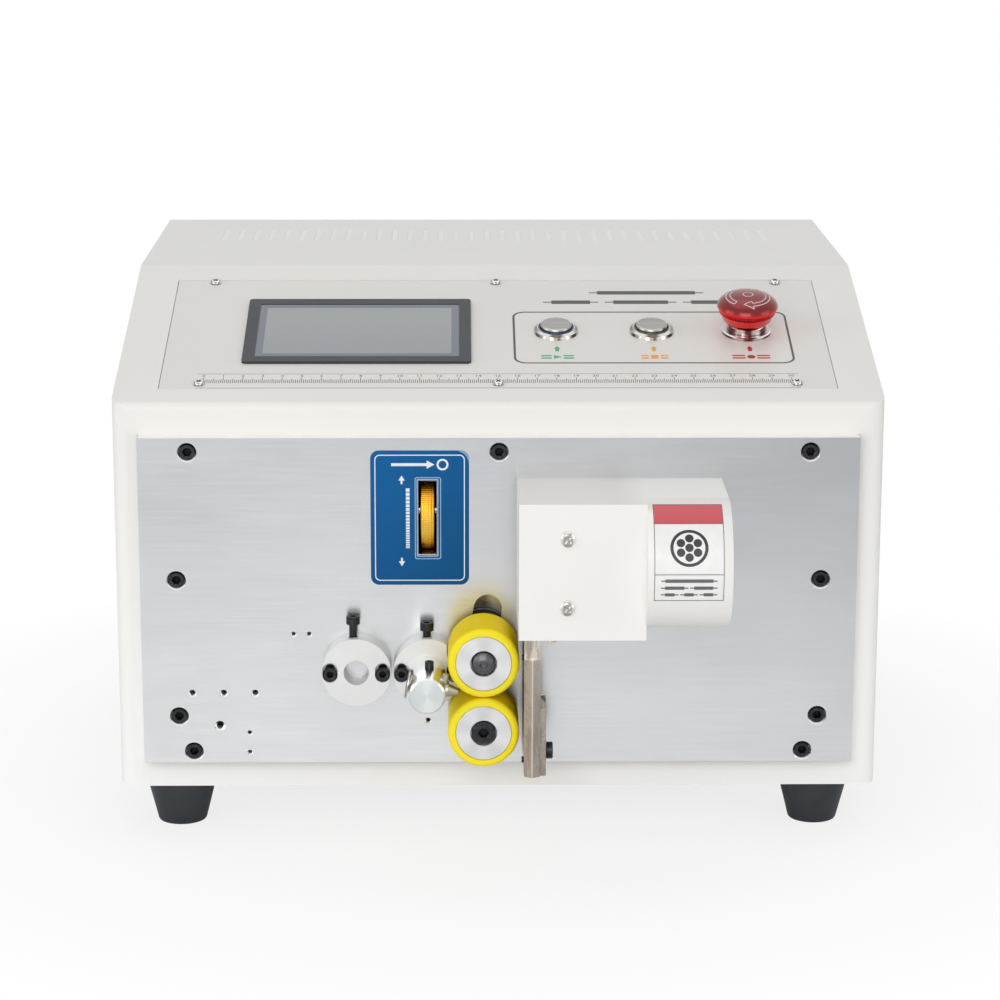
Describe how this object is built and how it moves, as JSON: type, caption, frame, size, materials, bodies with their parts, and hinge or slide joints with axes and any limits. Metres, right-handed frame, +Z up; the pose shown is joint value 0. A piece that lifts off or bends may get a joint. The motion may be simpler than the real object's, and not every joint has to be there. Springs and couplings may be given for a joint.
{
  "type": "wire and tube cutting machine",
  "caption": "Bench-top machine that feeds wire or thin tube between two soft rollers and cuts it, with a sloping panel, display, push buttons and stop button.",
  "frame": {"origin": "on the bench, below the middle of the machine's outline", "axes": "+Z up, -Y towards the front with the rollers, +X to the right when facing the front"},
  "size_m": [0.39, 0.435, 0.2705],
  "materials": {
    "housing_paint": "satin powder coat",
    "panel_sheet": "satin",
    "plate_metal": "fine brushed",
    "boss_metal": "turned",
    "black_steel": "black oxide",
    "bright_steel": "bright zinc",
    "foot_rubber": "matt",
    "display_case": "matt",
    "display_pane": "gloss",
    "button_steel": "turned",
    "stop_red": "red anodised gloss",
    "post_steel": "polished",
    "tube_steel": "satin",
    "blade_steel": "ground",
    "cover_paint": "satin powder coat",
    "inner_metal": "mill finish",
    "motor_black": "satin",
    "shaft_steel": "ground",
    "belt_rubber": "matt",
    "board_green": "solder mask",
    "fan_plastic": "matt",
    "rocker_red": "gloss",
    "tyre_yellow": "satin",
    "wheel_brass": "knurled"
  },
  "bodies": {
    "chassis": {"housing_shell": "housing_paint", "base_plate": "housing_paint", "rear_cover": "housing_paint", "case_screws": "bright_steel", "feet": "foot_rubber", "front_plate": "plate_metal", "plate_screws": "black_steel", "panel_plate": "panel_sheet", "panel_screws": "bright_steel", "display_module": "display_case", "display_glass": "display_pane", "push_switches": "button_steel", "stop_base": "bright_steel", "guide_bosses": "boss_metal", "boss_screws": "black_steel", "clamp_screws": "black_steel", "guide_post": "post_steel", "wire_tube": "tube_steel", "blade_frame": "blade_steel", "guide_bar": "blade_steel", "lower_blade": "blade_steel", "blade_screws": "black_steel", "blade_cover": "cover_paint", "cover_screws": "bright_steel", "motor_bracket": "inner_metal", "blade_motor": "motor_black", "roller_frame": "inner_metal", "shaft_bearings": "shaft_steel", "wheel_bracket": "inner_metal", "feed_motor": "motor_black", "feed_bracket": "inner_metal", "timing_belt": "belt_rubber", "controller_board": "board_green", "power_supply": "inner_metal", "fan_frame": "fan_plastic", "fan_guard": "bright_steel", "mains_inlet": "fan_plastic", "pressure_spring": "shaft_steel"},
    "lower_roller": {"lower_hub": "boss_metal", "lower_tyre": "tyre_yellow", "lower_bolt": "black_steel", "lower_shaft": "shaft_steel"},
    "feed_pulley": {"motor_pulley": "inner_metal"},
    "carriage": {"roller_carriage": "inner_metal", "carriage_bearings": "shaft_steel"},
    "upper_roller": {"upper_hub": "boss_metal", "upper_tyre": "tyre_yellow", "upper_bolt": "black_steel", "upper_shaft": "shaft_steel"},
    "tension_unit": {"tension_wheel": "wheel_brass", "wheel_axle": "shaft_steel"},
    "blade_slide": {"blade_carriage": "blade_steel", "upper_blade": "blade_steel"},
    "pinion": {"blade_pinion": "shaft_steel"},
    "start_cap": {"start_button": "button_steel"},
    "stop_cap": {"stop_button": "button_steel"},
    "stop_plunger": {"stop_stem": "stop_red"},
    "stop_mushroom": {"stop_head": "stop_red"},
    "fan_wheel": {"fan_rotor": "fan_plastic"},
    "rocker": {"power_rocker": "rocker_red"}
  },
  "joints": [
    {"name": "lower_roller_turn", "type": "hinge", "parent": "chassis", "child": "lower_roller", "pos_m": [-0.008, -0.1335, 0.068], "axis": [0, 1, 0], "continuous": true},
    {"name": "feed_pulley_turn", "type": "hinge", "parent": "chassis", "child": "feed_pulley", "pos_m": [0.072, -0.1335, 0.087], "axis": [0, 1, 0], "continuous": true},
    {"name": "carriage_lift", "type": "slide", "parent": "chassis", "child": "carriage", "axis": [0, 0, 1], "range_m": [0, 0.003], "deforming": ["pressure_spring"]},
    {"name": "upper_roller_turn", "type": "hinge", "parent": "carriage", "child": "upper_roller", "pos_m": [-0.008, -0.1335, 0.104], "axis": [0, 1, 0], "continuous": true},
    {"name": "tension_wheel_turn", "type": "hinge", "parent": "chassis", "child": "tension_unit", "pos_m": [-0.036, -0.124, 0.1692], "axis": [-1, 0, 0], "range_deg": [0, 43.1]},
    {"name": "blade_stroke", "type": "slide", "parent": "chassis", "child": "blade_slide", "axis": [0, 0, -1], "range_m": [0, 0.04]},
    {"name": "blade_pinion_turn", "type": "hinge", "parent": "chassis", "child": "pinion", "pos_m": [0.06, -0.1875, 0.143], "axis": [-1, 0, 0], "range_deg": [0, 328]},
    {"name": "start_press", "type": "slide", "parent": "chassis", "child": "start_cap", "axis": [0, 0.2582, -0.9661], "range_m": [0, 0.002], "stiffness_N_per_m": 600, "springref_m": -0.002},
    {"name": "stop_press", "type": "slide", "parent": "chassis", "child": "stop_cap", "axis": [0, 0.2582, -0.9661], "range_m": [0, 0.002], "stiffness_N_per_m": 600, "springref_m": -0.002},
    {"name": "emergency_press", "type": "slide", "parent": "chassis", "child": "stop_plunger", "axis": [0, 0.2582, -0.9661], "range_m": [0, 0.004]},
    {"name": "emergency_twist", "type": "hinge", "parent": "stop_plunger", "child": "stop_mushroom", "pos_m": [0.1316, -0.04974, 0.24839], "axis": [0, 0.2582, -0.9661], "range_deg": [0, 35], "stiffness_Nm_per_rad": 0.02},
    {"name": "fan_turn", "type": "hinge", "parent": "chassis", "child": "fan_wheel", "pos_m": [0.09, 0.1965, 0.175], "axis": [0, 1, 0], "continuous": true},
    {"name": "power_rock", "type": "hinge", "parent": "chassis", "child": "rocker", "pos_m": [-0.12, 0.2085, 0.099], "axis": [-1, 0, 0], "range_deg": [0, 20]}
  ],
  "couplings": [
    {"joint": "feed_pulley_turn", "follows": "lower_roller_turn", "ratio": 2},
    {"joint": "upper_roller_turn", "follows": "lower_roller_turn", "ratio": -1},
    {"joint": "tension_wheel_turn", "follows": "carriage_lift", "rad_per_m": 250},
    {"joint": "blade_pinion_turn", "follows": "blade_stroke", "rad_per_m": 142.86}
  ]
}
